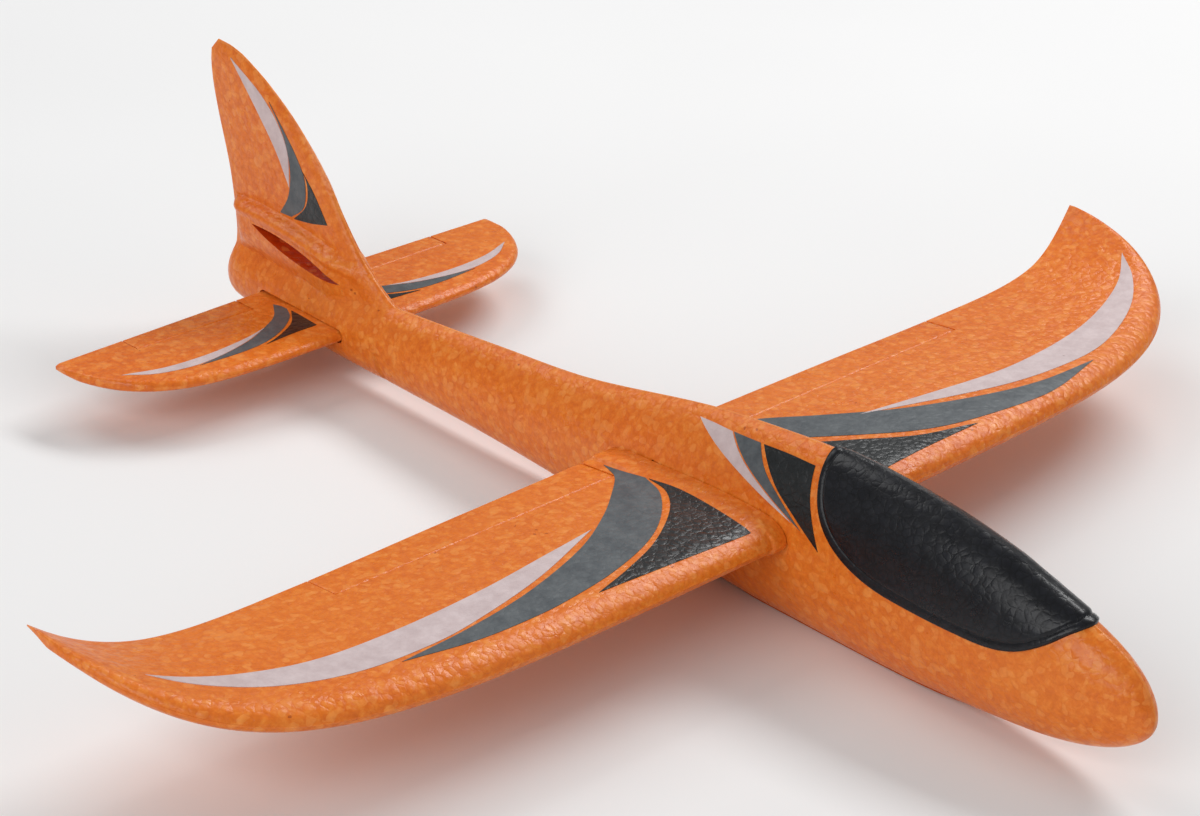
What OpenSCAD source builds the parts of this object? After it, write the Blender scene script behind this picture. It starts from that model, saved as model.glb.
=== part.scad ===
// Hand-launched foam glider: a deep moulded fuselage with a black canopy cover, two plug-in
// wing halves and a tailplane that slides through one of two tail slots.
// +X is forward (nose), +Y is the left wing, +Z is up. The belly rests on Z = 0.

/* [Span and length] */
// Tip to tip width of the wing
wing_span = 480; // [440:5:520]
// Distance of the nose tip ahead of the origin
nose_x = 225; // [222:1:228]
// Height of the wing's chord plane above the belly
wing_z = 34; // [33:0.5:36]

/* [Wing] */
// Leading edge of the wing at the root, ahead of the origin
wing_le = 89.5; // [88:0.5:92]
// Trailing edge of the wing at the root, ahead of the origin
wing_te = 8.5; // [7:0.5:10]
// Half of the root's thickness
wing_half_t = 5.4; // [4.8:0.1:6]
// Rise of the upturned tip
tip_curl = 18.5; // [8:1:22]
// Root rim's width, outboard of the fuselage
rim_w = 8; // [6:0.5:10]
// Distance from the centre to the inner end of the flap
flap_start = 28; // [26:0.5:32]
// Distance from the centre to the outer end of the flap
flap_end = 145; // [120:1:160]
// Fore and aft place of the flap's crease
flap_crease = 24; // [22:0.5:27]

/* [Tailplane] */
// Half span of the tailplane
tail_half = 104.5; // [98:0.5:106]
// Leading edge of the tailplane at the root
tail_le = -138; // [-140:0.2:-137]
// Trailing edge of the tailplane at the root
tail_te = -187.2; // [-188:0.2:-186]
// Height of the tailplane's mid plane
tail_z = 20.4; // [20:0.5:22]
// Thickness of the tailplane
tail_t = 4.6; // [4.2:0.1:5]
// Distance from the centre to the inner end of the elevator
elevator_start = 21.5; // [18:0.5:26]
// Distance from the centre to the outer end of the elevator
elevator_end = 74; // [66:1:78]
// Fore and aft place of the elevator's crease
elevator_crease = -176; // [-177:0.1:-174]

/* [Fuselage and fin] */
// Half width of the fuselage at the wing
body_half_w = 15.2; // [14.5:0.1:16]
// Height of the fin's tip
fin_top = 111; // [104:1:116]
// Thickness of the fin at its root
fin_t = 6.4; // [5.5:0.1:7.5]
// Half width of the boss round the upper tail slot
boss_half_w = 8.6; // [8:0.1:9.5]
// Opening of the upper tail slot
slot_h = 6; // [5.8:0.1:6.4]

/* [Canopy and weight] */
// Thickness of the canopy cover
canopy_t = 1.6; // [1.2:0.1:2]
// Diameter of the nose weight
weight_d = 11; // [9:0.5:12]
// Length of the nose weight
weight_h = 22; // [16:1:26]

/* [Plug-in roots] */
// Thickness of the foam tongue on each wing root
tongue_t = 6; // [5.5:0.1:6.4]
// Fore and aft length of the tongue
tongue_l = 50; // [44:1:52]
// Reach of the clip's two prongs into the other half's sockets
prong_reach = 9; // [6:0.5:10]

/* [Hidden] */

fit_gap = 0.35;          // clearance round sliding foam parts
crease_gap = 0.5;        // half width of the creases' cut
bevel = tan(26);         // slope of a flap's front bevels, which lets it swing
half_span = wing_span / 2;
fin_front = -117;        // where the fin's leading edge leaves the spine
body_end = -209;         // rear end of the fuselage under the fin
tongue_mid = 52;         // fore and aft middle of the wing tongues
tongue_z = wing_z + 0.8;
clip_l = 30;
clip_t = 4;
prong_w = 5;
weight_x = 178;          // fore and aft place of the nose weight
weight_z = 15;
upper_slot_mid = [-169, 42.8];
upper_slot_l = 51;       // fore and aft length of the upper slot
slot_tilt = 9.4;         // the upper slot's nose-down angle
foam = [0.90, 0.47, 0.16];
black = [0.11, 0.11, 0.12];
steel = [0.55, 0.56, 0.58];

// ---------- interpolation ----------
function span_of(t, x, i = 0) = (i >= len(t) - 2 || x < t[i + 1][0]) ? i : span_of(t, x, i + 1);
function slope(t, i, k) = let (a = max(i - 1, 0), b = min(i + 1, len(t) - 1))
    (t[b][k] - t[a][k]) / (t[b][0] - t[a][0]);
// Smooth cubic through the rows of t, whose first column is the position
function smooth(t, x, k) = let (i = span_of(t, x), h = t[i + 1][0] - t[i][0],
    u = min(max((x - t[i][0]) / h, 0), 1), a = t[i][k], b = t[i + 1][k],
    m = slope(t, i, k) * h, n = slope(t, i + 1, k) * h)
    a * (1 + 2 * u) * pow(1 - u, 2) + b * u * u * (3 - 2 * u) + m * u * pow(1 - u, 2)
    - n * u * u * (1 - u);
function mix(a, b, u) = a + (b - a) * u;
function clamp(u) = min(max(u, 0), 1);
function ease(u) = let (v = clamp(u)) v * v * (3 - 2 * v);
function round_off(d, r) = sqrt(1 - pow(1 - clamp(d / r), 2));

// ---------- closed loft through rings whose points k and m-1-k face each other ----------
function ring_faces(n, m) = [for (j = [0:n - 2], k = [0:m - 1]) let (k2 = (k + 1) % m)
    each [[j * m + k, j * m + k2, (j + 1) * m + k2], [j * m + k, (j + 1) * m + k2, (j + 1) * m + k]]];
function cap_faces(o, m, flip) = [for (k = [0:m / 2 - 2])
    each let (a = o + k, b = o + k + 1, c = o + m - 2 - k, d = o + m - 1 - k)
    flip ? [[a, c, b], [a, d, c]] : [[a, b, c], [a, c, d]]];
function backwards(v) = [for (i = [len(v) - 1:-1:0]) v[i]];
module loft(rings) {
    n = len(rings);
    m = len(rings[0]);
    polyhedron(points = [for (r = rings) each r],
        faces = concat(ring_faces(n, m), cap_faces(0, m, true), cap_faces((n - 1) * m, m, false)));
}

// ---------- fuselage ----------
// Rows: position, belly height, spine height, half width as a share, crown sharpness
body_rows = [
    [-230, 12, 33, 0.56, 1.7],
    [-190, 10, 33, 0.62, 1.7],
    [-150, 8, 34.4, 0.65, 1.6],
    [-117, 7.6, 36.6, 0.67, 1.6],
    [-63, 7, 42, 0.72, 1.5],
    [-19, 5.2, 46.8, 0.82, 1.5],
    [40, 1.6, 59, 0.96, 1.5],
    [70, 0, 63, 0.99, 1.55],
    [97, 0, 65, 1.00, 1.7],
    [135, 0.6, 63.4, 1.00, 1.85],
    [165, 3.0, 58.6, 0.95, 1.9],
    [190, 5.8, 52, 0.88, 1.9],
    [226, 9.0, 48, 0.74, 1.9]];
nose_start = 178;
nose_z = 26;
function nose(x) = pow(1 - pow(clamp((x - nose_start) / (nose_x - nose_start)), 2.4), 0.5);
function belly(x) = mix(nose_z, max(smooth(body_rows, x, 1), 0), nose(x));
function spine(x) = mix(nose_z, smooth(body_rows, x, 2), nose(x));
// Half width of the bare body at height z, or of the body grown all round by g
wide = 0.45;             // share of the body's depth at which it is widest
function body_w(x, z, g = 0) = let (lo = belly(x) - g, hi = spine(x) + g, s = clamp((z - lo) / (hi - lo)),
    w = body_half_w * smooth(body_rows, x, 3) * nose(x) + g, crown = smooth(body_rows, x, 4))
    s < wide ? w * sqrt(1 - pow(1 - s / wide, 2))
        : w * pow(1 - pow((s - wide) / (1 - wide), 2), 1 / crown);

// ---------- fin ----------
// Rows: height, fore and aft place of the edge
fin_rear_rows = [[0, -208], [12, -212], [22, -213.4], [32, -212], [40, -211.5], [61, -215],
    [85, -223], [97, -226], [107, -226.1], [fin_top, -223.2]];
fin_front_rows = [[35.4, fin_front], [41, -127], [50, -138], [62, -148.5], [75, -158], [90, -173.5],
    [101, -190], [108.3, -205.5], [110.6, -214.5], [fin_top, -221.6]];
fin_tip_t = 3.6;         // thickness of the fin at its tip
function fin_rear(z) = smooth(fin_rear_rows, z, 1);
function fin_lead(z) = smooth(fin_front_rows, z, 1);
function fin_w(x, z) = let (top = mix(fin_t, fin_tip_t, ease((z - 40) / 70)) / 2,
    lead = (fin_lead(max(z, 36)) - x) * 0.75, tail = x - fin_rear(z))
    top * round_off(lead, 7) * mix(0.45, 1, round_off(tail, 16));

// Boss round the upper slot. Its upper edge is a raised ridge, which runs down towards the nose.
boss_top_z = 54;         // height of the ridge at its rear end
boss_top_x = -196;       // where the ridge starts to run down
boss_step = 3.2;         // height over which the ridge rises out of the fin
boss_front = -126;       // where the boss has faded into the body
function boss_top(x) = boss_top_z - 0.002 * pow(max(x - boss_top_x, 0), 2);
function boss_w(x, z) = let (d = boss_top(x) - z, end = round_off(x - fin_rear(z) - 4, 8),
    fade = ease((boss_front - x) / 26), face = 1 - 0.13 * ease((d - boss_step) / 3),
    under = sqrt(1 - pow(clamp((d - 9) / 13), 2)))
    boss_half_w * fade * end * round_off(d, boss_step) * face * under;
function side_w(x, z) = let (end = round_off(x - fin_rear(z), 12),
    b = body_w(x, z) * (x < fin_front ? mix(0.25, 1, end) : 1))
    x > fin_front ? b : pow(pow(b, 4) + pow(fin_w(x, z), 4) + pow(boss_w(x, z), 4), 0.25);

rows = 30;               // points up each side of a fuselage ring
function height(i, lo, hi) = mix(lo, hi, (1 - cos(180 * i / rows)) / 2);
keel_w = 3;              // half width of the flat strip under the belly
function keel(x) = keel_w * ease((x - 20) / 50) * ease((185 - x) / 40) + 0.3;
function body_ring(x) = let (lo = belly(x), hi = spine(x),
    side = [for (i = [0:rows]) let (z = height(i, lo, hi))
        [x, max(side_w(x, z), i == 0 ? keel(x) : 0.3), z]])
    concat([for (p = side) [p[0], -p[1], p[2]]], [for (i = [rows:-1:0]) side[i]]);
// Heights of a tail ring's points, which crowd just below the ridge's height t
low_rows = 9;
mid_rows = 12;
mid_depth = 12.5;
function tail_height(i, lo, t, hi) = i < low_rows ? mix(lo, t - mid_depth, i / low_rows)
    : i < low_rows + mid_rows ? mix(t - mid_depth, t + 0.2, (i - low_rows) / mid_rows)
    : mix(t + 0.2, hi, (i - low_rows - mid_rows) / (rows - low_rows - mid_rows));
// A leaning ring of the tail, whose top lies on the fin's leading edge at height hi
function tail_ring(hi) = let (s = (fin_lead(hi) - fin_front) / (fin_rear(hi) - fin_front),
    lo = belly(mix(fin_front, body_end, s)), near = mix(fin_front, fin_rear(boss_top_z), s),
    t = min(boss_top(near), mix(hi, lo, 0.12)),
    side = [for (i = [0:rows]) let (z = tail_height(i, lo, t, hi), x = mix(fin_front, fin_rear(z), s))
        [x, max(side_w(x, z), 0.3), z]])
    concat([for (p = side) [p[0], -p[1], p[2]]], [for (i = [rows:-1:0]) side[i]]);
function tail_hi(u) = mix(fin_top, 36.4, pow(u, 1.7));
body_steps = 32;
nose_steps = 8;
tail_steps = 26;
fuselage_rings = concat([for (j = [0:tail_steps]) tail_ring(tail_hi(j / tail_steps))],
    [for (j = [0:body_steps]) body_ring(mix(fin_front + 3, nose_start, j / body_steps))],
    [for (j = [1:nose_steps]) body_ring(mix(nose_start, nose_x, sin(89 * j / nose_steps)))]);

// A bar with round ends, which clears the tailplane's root section
module slot_bar(chord, h, width) rotate([90, 0, 0]) linear_extrude(width, center = true) {
    for (s = [-1, 1]) translate([s * (chord - h) / 2, 0]) circle(d = h, $fn = 32);
    translate([-(chord - h) / 2, -h / 2]) square([chord - h, h]);
}
// A lens between two arcs
module slot_lens(chord, h, width) {
    r = (pow(chord, 2) + pow(h, 2)) / 4 / h;
    rotate([90, 0, 0]) intersection() {
        translate([0, r - h / 2, 0]) cylinder(r = r, h = width, center = true, $fn = 240);
        translate([0, h / 2 - r, 0]) cylinder(r = r, h = width, center = true, $fn = 240);
    }
}
tail_mid = (tail_le + tail_te) / 2;
tail_chord = tail_le - tail_te;

module fuselage() color(foam) difference() {
    loft(fuselage_rings);
    translate([tail_mid, 0, tail_z]) slot_bar(tail_chord + 2 * fit_gap, tail_t + 2 * fit_gap, 60);
    translate([upper_slot_mid[0], 0, upper_slot_mid[1]]) rotate([0, slot_tilt, 0])
        slot_lens(upper_slot_l, slot_h, 60);
    translate([tongue_mid - tongue_l / 2 - fit_gap, -40, tongue_z - tongue_t / 2 - fit_gap])
        cube([tongue_l + 2 * fit_gap, 80, tongue_t + 2 * fit_gap]);
    translate([weight_x, 0, weight_z]) cylinder(d = weight_d + 0.1, h = 60, $fn = 48);
}

// ---------- canopy ----------
// Lower edge of the canopy: position and height
canopy_rear = 94.5;
canopy_nose = 200;
canopy_rows = [[canopy_rear, 64.8], [96.3, 58], [100, 49.8], [106, 43], [115, 37.8], [127, 34.6],
    [142, 33.6], [158, 33.4], [172, 34], [182, 36.6], [190, 41.4], [196, 46.4], [canopy_nose, 49]];
canopy_steps = 24;
canopy_arc = 10;
function canopy_side(x, g) = let (lo = min(smooth(canopy_rows, x, 1), spine(x) - 3), hi = spine(x) + g)
    [for (i = [0:canopy_arc]) let (z = mix(hi, lo, pow(1 - i / canopy_arc, 1.6)))
        [x, max(body_w(x, z, g), 0.4), z]];
function canopy_arch(x, g) = let (s = canopy_side(x, g))
    concat([for (p = s) [p[0], -p[1], p[2]]], [for (i = [canopy_arc:-1:0]) s[i]]);
function canopy_ring(x) = let (inner = canopy_arch(x, 0.05), outer = canopy_arch(x, canopy_t))
    concat(outer, [for (i = [len(inner) - 1:-1:0]) inner[i]]);
canopy_bunch = 0.7;      // how far the rings bunch towards the two ends
function canopy_place(u) = mix(canopy_rear, canopy_nose, mix(u, (1 - cos(180 * u)) / 2, canopy_bunch));
canopy_rings = [for (j = [0:canopy_steps]) canopy_ring(canopy_place(j / canopy_steps))];

module canopy() color(black) loft(canopy_rings);

module nose_weight() color(steel) translate([weight_x, 0, weight_z])
    cylinder(d = weight_d, h = weight_h, $fn = 48);

// ---------- wing ----------
tip_te = 0.5;
wing_te_rows = [[0, wing_te], [90, wing_te + 1], [150, wing_te + 2], [205, wing_te + 0.8],
    [half_span, tip_te]];
cap_end = 20;            // outer end of the cap over the root's leading edge
cap_l = 1;               // how far that cap stands ahead of the wing
function lead(y) = tip_te + (wing_le - tip_te) * pow(1 - pow(clamp(y / half_span), 5.3), 0.41)
    + cap_l * (1 - ease((y - cap_end) / 1.2));
function wing_rear(y) = min(smooth(wing_te_rows, y, 1), lead(y) - 3);
function wing_nose(y) = min(10 / (lead(y) - wing_rear(y)), 0.4);
function wing_rise(y, c) = wing_z - 1 + 0.002 * y + tip_curl * mix(0.85, 1, c) * pow(y / half_span, 12);
tip_half_t = 0.9;        // least half thickness, which blunts the tip
function wing_h(y) = max(wing_half_t * pow((lead(y) - wing_rear(y)) / (wing_le - wing_te), 0.7), tip_half_t);
// Half thickness along the chord, 0 at the leading edge and 1 at the trailing edge
function foil(c, nose_c) = round_off(c, nose_c) * (1 - 0.78 * pow(c, 1.5));
// The root's rear is thicker than the flap beside it, and its top swells to meet the fuselage
function rim(y, c) = 0.9 * (1 - ease((y - body_half_w - rim_w) / 1.5)) * ease((c - 0.7) / 0.22);
function swell(y, c) = 1.7 * (1 - ease((y - 15) / 14)) * pow(4 * c * (1 - c), 0.7);
function wing_mid(y, c) = wing_rise(y, c) + mix(1.5, 0.3, c) * sqrt(1 - pow(clamp(y / half_span), 4))
    + 2.4 * c * (1 - c);
function wing_top(y, c) = wing_mid(y, c) + wing_h(y) * foil(c, wing_nose(y)) + rim(y, c) + swell(y, c);
function wing_low(y, c) = wing_mid(y, c) - wing_h(y) * foil(c, wing_nose(y)) - rim(y, c);
chord_steps = 14;
function chordwise(i) = pow(i / chord_steps, 1.7);
// The root follows the fuselage's side; other sections are flat
function wing_ring(y, root = false) = let (f = lead(y), r = wing_rear(y),
    top = [for (i = [chord_steps:-1:1]) let (c = chordwise(i)) [mix(f, r, c), y, wing_top(y, c)]],
    low = [for (i = [1:chord_steps]) let (c = chordwise(i)) [mix(f, r, c), y, wing_low(y, c)]])
    [for (p = concat(top, [[f, y, wing_mid(y, 0) + 0.4], [f, y, wing_mid(y, 0) - 0.4]], low))
        [p[0], root ? body_w(p[0], p[2]) + fit_gap + 0.15 : p[1], p[2]]];
wing_root_y = 17;
rim_end = body_half_w + rim_w;
tip_start = 190;         // where the outline starts to round into the tip
wing_stations = concat([cap_end, cap_end + 1.2, rim_end, rim_end + 1.5, flap_start, 34],
    [for (i = [1:8]) mix(34, tip_start, i / 8)],
    [for (i = [1:11]) mix(tip_start, half_span - 0.3, sin(90 * i / 11))]);
wing_rings = concat([wing_ring(wing_root_y, true)], [for (y = wing_stations) wing_ring(y)]);

module flap_room() translate([-40, flap_start - crease_gap, 0])
    cube([flap_crease + 40 + crease_gap, flap_end - flap_start + 2 * crease_gap, 80]);

tongue_out = 19.2;       // how far out the tongue reaches into the wing
clip_out = 12;           // outer end of the clip's plastic
split = 0.2;             // each half stops this far short of the centre plane
module half_wing() difference() {
    union() {
        loft(backwards(wing_rings));
        translate([tongue_mid - tongue_l / 2, split, tongue_z - tongue_t / 2])
            cube([tongue_l, tongue_out - split, tongue_t]);
    }
    flap_room();
    translate([tongue_mid - clip_l / 2, -1, tongue_z - clip_t / 2])
        cube([clip_l, clip_out + 1, clip_t]);
}
module left_wing() color(foam) half_wing();
module right_wing() color(foam) mirror([0, 1, 0]) half_wing();

prong_x = clip_l / 2 - prong_w - 2;
prong_t = 2;
fit = 0.2;               // clearance round the prongs
module left_wing_plug() color(black) {
    translate([tongue_mid - clip_l / 2, split, tongue_z - clip_t / 2])
        cube([clip_l, clip_out - split, clip_t]);
    for (s = [-1, 1])
        translate([tongue_mid + s * prong_x - prong_w / 2, -prong_reach, tongue_z - prong_t / 2])
            cube([prong_w, prong_reach + 1, prong_t]);
}
module right_wing_socket() color(black) difference() {
    translate([tongue_mid - clip_l / 2, -clip_out, tongue_z - clip_t / 2])
        cube([clip_l, clip_out - split, clip_t]);
    for (s = [-1, 1])
        translate([tongue_mid + s * prong_x, -clip_out / 2, tongue_z])
            cube([prong_w + 2 * fit, clip_out + 2, prong_t + 2 * fit], center = true);
}

// ---------- flaps and elevators: lofts with a bevelled front at the crease ----------
flap_steps = 6;
function flap_ring(y) = let (f = lead(y), r = wing_rear(y), front = flap_crease - crease_gap / 2,
    hi = (f - front) / (f - r), mid = wing_mid(y, hi), back = (wing_top(y, hi) - mid) * bevel,
    lo = (f - front + back) / (f - r))
    let (cs = [for (i = [0:flap_steps]) mix(1, lo, i / flap_steps)])
    concat([for (c = cs) [mix(f, r, c), y, wing_top(y, c)]],
        [[front, y, mid + 0.1], [front, y, mid - 0.1]],
        [for (i = [flap_steps:-1:0]) let (c = cs[i]) [mix(f, r, c), y, wing_low(y, c)]]);
flap_rings = [for (i = [0:8]) flap_ring(mix(flap_start, flap_end, i / 8))];

module left_flap() color(foam) loft(backwards(flap_rings));
module right_flap() color(foam) mirror([0, 1, 0]) loft(backwards(flap_rings));

// ---------- tailplane ----------
tip_tail_te = tail_te + 2.5;
function tail_lead(y) = tip_tail_te
    + (tail_le - tip_tail_te) * pow(1 - pow(clamp(y / tail_half), 5.3), 0.56);
function tail_rear(y) = min(mix(tail_te, tip_tail_te, y / tail_half), tail_lead(y) - 3);
function plate(y, x) = let (f = tail_lead(y), r = tail_rear(y), h = tail_t / 2 * min(1, (f - r) / 14))
    h * max(round_off(f - x, 4), 0.12) * max(mix(0.55, 1, clamp((x - r) / 26)), 0.2);
tail_cols = 12;
function tail_section(y) = let (f = tail_lead(y), r = tail_rear(y),
    xs = [for (i = [0:tail_cols]) mix(r, f, sin(90 * pow(i / tail_cols, 1.1)))])
    concat([for (x = xs) [x, y, tail_z + plate(y, x)]],
        [for (i = [tail_cols:-1:0]) [xs[i], y, tail_z - plate(y, xs[i])]]);
tail_stations = concat([for (i = [0:5]) mix(0, elevator_end, i / 5)],
    [for (i = [1:8]) mix(elevator_end, tail_half - 0.7, sin(90 * i / 8))]);
function other_side(ring) = [for (p = ring) [p[0], -p[1], p[2]]];
tailplane_rings = concat(
    [for (i = [len(tail_stations) - 1:-1:1]) other_side(tail_section(tail_stations[i]))],
    [for (y = tail_stations) tail_section(y)]);
module elevator_room() translate([-240, elevator_start - crease_gap, 0])
    cube([elevator_crease + 240 + crease_gap, elevator_end - elevator_start + 2 * crease_gap, 60]);

module tailplane() color(foam) difference() {
    loft(backwards(tailplane_rings));
    elevator_room();
    mirror([0, 1, 0]) elevator_room();
}

elevator_steps = 5;
function elevator_ring(y) = let (r = tail_rear(y), front = elevator_crease - crease_gap / 2,
    back = front - plate(y, front) * bevel)
    let (xs = [for (i = [0:elevator_steps]) mix(r, back, i / elevator_steps)])
    concat([for (x = xs) [x, y, tail_z + plate(y, x)]],
        [[front, y, tail_z + 0.1], [front, y, tail_z - 0.1]],
        [for (i = [elevator_steps:-1:0]) [xs[i], y, tail_z - plate(y, xs[i])]]);
elevator_rings = [for (i = [0:4]) elevator_ring(mix(elevator_start, elevator_end, i / 4))];

module left_elevator() color(foam) loft(backwards(elevator_rings));
module right_elevator() color(foam) mirror([0, 1, 0]) loft(backwards(elevator_rings));

fuselage();
canopy();
nose_weight();
left_wing();
right_wing();
left_wing_plug();
right_wing_socket();
left_flap();
right_flap();
tailplane();
left_elevator();
right_elevator();
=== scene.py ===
# Looks of the foam hand-launch glider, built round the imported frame. The shape functions work in
# millimetres in the row frame (+X to the nose, +Y to the left wing tip, +Z up); meshes are in metres.
import math

import bmesh
import bpy
import numpy as np
from mathutils import Matrix, Vector
from mathutils.geometry import delaunay_2d_cdt


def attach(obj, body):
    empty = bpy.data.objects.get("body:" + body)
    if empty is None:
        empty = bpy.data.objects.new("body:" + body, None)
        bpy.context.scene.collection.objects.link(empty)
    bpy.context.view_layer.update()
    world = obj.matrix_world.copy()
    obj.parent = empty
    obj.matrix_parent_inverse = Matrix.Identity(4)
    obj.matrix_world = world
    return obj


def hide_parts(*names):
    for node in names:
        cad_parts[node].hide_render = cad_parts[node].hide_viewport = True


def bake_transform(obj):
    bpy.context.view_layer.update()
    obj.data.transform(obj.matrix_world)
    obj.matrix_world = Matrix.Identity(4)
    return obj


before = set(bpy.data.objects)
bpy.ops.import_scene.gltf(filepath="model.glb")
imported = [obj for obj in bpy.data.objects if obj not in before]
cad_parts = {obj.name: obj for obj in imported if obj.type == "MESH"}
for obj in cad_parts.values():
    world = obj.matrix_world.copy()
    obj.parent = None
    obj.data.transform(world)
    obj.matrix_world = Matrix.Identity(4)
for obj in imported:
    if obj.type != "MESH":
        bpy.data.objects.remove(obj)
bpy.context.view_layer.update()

MM = 0.001


# ---------------------------------------------------------------- sizes, as in the CAD model
HALF_SPAN = 240.0
WING_Z = 34.0
WING_LE = 89.5
WING_TE = 8.5
WING_HALF_T = 5.4
TIP_CURL = 18.5
TIP_TE = 0.5
TIP_HALF_T = 0.9
RIM_END = 22.2
CAP_END = 20.0
FLAP_START, FLAP_END, FLAP_CREASE = 28.0, 145.0, 24.0
TAIL_HALF, TAIL_LE, TAIL_TE = 104.5, -138.0, -187.2
TAIL_Z, TAIL_T = 20.4, 4.6
ELEVATOR_START, ELEVATOR_END, ELEVATOR_CREASE = 21.5, 74.0, -176.0
BODY_HALF_W = 15.2
NOSE_X, NOSE_START, NOSE_Z = 225.0, 178.0, 26.0
FIN_TOP, FIN_T, FIN_TIP_T, FIN_FRONT, BODY_END = 111.0, 6.4, 3.6, -117.0, -209.0
BOSS_HALF_W, BOSS_TOP_Z, BOSS_TOP_X, BOSS_STEP, BOSS_FRONT = 8.6, 54.0, -196.0, 3.2, -126.0
SLOT_H, SLOT_L, SLOT_TILT = 6.0, 51.0, 9.4
SLOT_X, SLOT_Z = -169.0, 42.8
CANOPY_T = 1.6
FIT_GAP, CREASE_GAP = 0.35, 0.5
TONGUE_X, TONGUE_L, TONGUE_T = 52.0, 50.0, 6.0
TONGUE_Z = WING_Z + 0.8
TONGUE_START, TONGUE_END = 0.2, 19.2
CLIP_L, CLIP_T = 30.0, 4.0

# The rows below hold places that a scratch script worked out from edges marked on the photo, then
# rounded and adjusted. They stand as an open fault.
# Station, belly height, spine height, share of the half width, roundness of the crown
BODY_ROWS = [
    (-230, 12, 33, 0.56, 1.7), (-190, 10, 33, 0.62, 1.7), (-150, 8, 34.4, 0.65, 1.6),
    (-117, 7.6, 36.6, 0.67, 1.6), (-63, 7, 42, 0.72, 1.5), (-19, 5.2, 46.8, 0.82, 1.5),
    (40, 1.6, 59, 0.96, 1.5), (70, 0, 63, 0.99, 1.55), (97, 0, 65, 1.0, 1.7),
    (135, 0.6, 63.4, 1.0, 1.85), (165, 3, 58.6, 0.95, 1.9), (190, 5.8, 52, 0.88, 1.9),
    (226, 9, 48, 0.74, 1.9)]
# Height, fore and aft place of the edge
FIN_REAR_ROWS = [(0, -208), (12, -212), (22, -213.4), (32, -212), (40, -211.5), (61, -215),
                 (85, -223), (97, -226), (107, -226.1), (FIN_TOP, -223.2)]
FIN_FRONT_ROWS = [(35.4, FIN_FRONT), (41, -127), (50, -138), (62, -148.5), (75, -158),
                  (90, -173.5), (101, -190), (108.3, -205.5), (110.6, -214.5), (FIN_TOP, -221.6)]
# Distance from the centre, fore and aft place of the trailing edge
WING_TE_ROWS = [(0, WING_TE), (90, WING_TE + 1), (150, WING_TE + 2), (205, WING_TE + 0.8),
                (HALF_SPAN, TIP_TE)]
CANOPY_REAR, CANOPY_NOSE = 94.5, 200.0
CANOPY_ROWS = [(CANOPY_REAR, 64.8), (96.3, 58), (100, 49.8), (106, 43), (115, 37.8), (127, 34.6),
               (142, 33.6), (158, 33.4), (172, 34), (182, 36.6), (190, 41.4), (196, 46.4),
               (CANOPY_NOSE, 49)]


# ---------------------------------------------------------------- shape functions, in millimetres
def clamp(u):
    return np.clip(u, 0.0, 1.0)


def mix(a, b, u):
    return a + (b - a) * u


def ease(u):
    v = clamp(u)
    return v * v * (3 - 2 * v)


def round_off(d, r):
    return np.sqrt(1 - (1 - clamp(d / r)) ** 2)


def smooth(rows, x, col=1):
    """Smooth cubic through the rows, whose first column is the position."""
    table = np.array(rows, float)
    t, v = table[:, 0], table[:, col]
    count = len(t)
    before = np.maximum(np.arange(count) - 1, 0)
    after = np.minimum(np.arange(count) + 1, count - 1)
    m = (v[after] - v[before]) / (t[after] - t[before])
    x = np.asarray(x, float)
    i = np.clip(np.searchsorted(t, x, side="right") - 1, 0, count - 2)
    h = t[i + 1] - t[i]
    u = clamp((x - t[i]) / h)
    return (v[i] * (1 + 2 * u) * (1 - u) ** 2 + v[i + 1] * u * u * (3 - 2 * u)
            + m[i] * h * u * (1 - u) ** 2 - m[i + 1] * h * u * u * (1 - u))


def nose(x):
    return np.sqrt(1 - clamp((x - NOSE_START) / (NOSE_X - NOSE_START)) ** 2.4)


def belly(x):
    return mix(NOSE_Z, np.maximum(smooth(BODY_ROWS, x, 1), 0), nose(x))


def spine(x):
    return mix(NOSE_Z, smooth(BODY_ROWS, x, 2), nose(x))


WIDE = 0.45   # share of the body's depth at which it is widest


def body_w(x, z, grow=0.0):
    x, z = np.broadcast_arrays(np.asarray(x, float), np.asarray(z, float))
    low, high = belly(x) - grow, spine(x) + grow
    s = clamp((z - low) / (high - low))
    w = BODY_HALF_W * smooth(BODY_ROWS, x, 3) * nose(x) + grow
    crown = smooth(BODY_ROWS, x, 4)
    lower = np.sqrt(np.maximum(1 - (1 - s / WIDE) ** 2, 0))
    upper = np.maximum(1 - (np.maximum(s - WIDE, 0) / (1 - WIDE)) ** 2, 0) ** (1 / crown)
    return w * np.where(s < WIDE, lower, upper)


def fin_rear(z):
    return smooth(FIN_REAR_ROWS, z)


def fin_lead(z):
    return smooth(FIN_FRONT_ROWS, z)


def fin_w(x, z):
    top = mix(FIN_T, FIN_TIP_T, ease((z - 40) / 70)) / 2
    lead = (fin_lead(np.maximum(z, 36)) - x) * 0.75
    return top * round_off(lead, 7) * mix(0.45, 1, round_off(x - fin_rear(z), 16))


def boss_top(x):
    """Height of the raised ridge over the upper slot."""
    return BOSS_TOP_Z - 0.002 * np.maximum(x - BOSS_TOP_X, 0) ** 2


def boss_w(x, z):
    d = boss_top(x) - z
    end = round_off(x - fin_rear(z) - 4, 8)
    face = 1 - 0.13 * ease((d - BOSS_STEP) / 3)
    under = np.sqrt(1 - clamp((d - 9) / 13) ** 2)
    return BOSS_HALF_W * ease((BOSS_FRONT - x) / 26) * end * round_off(d, BOSS_STEP) * face * under


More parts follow.
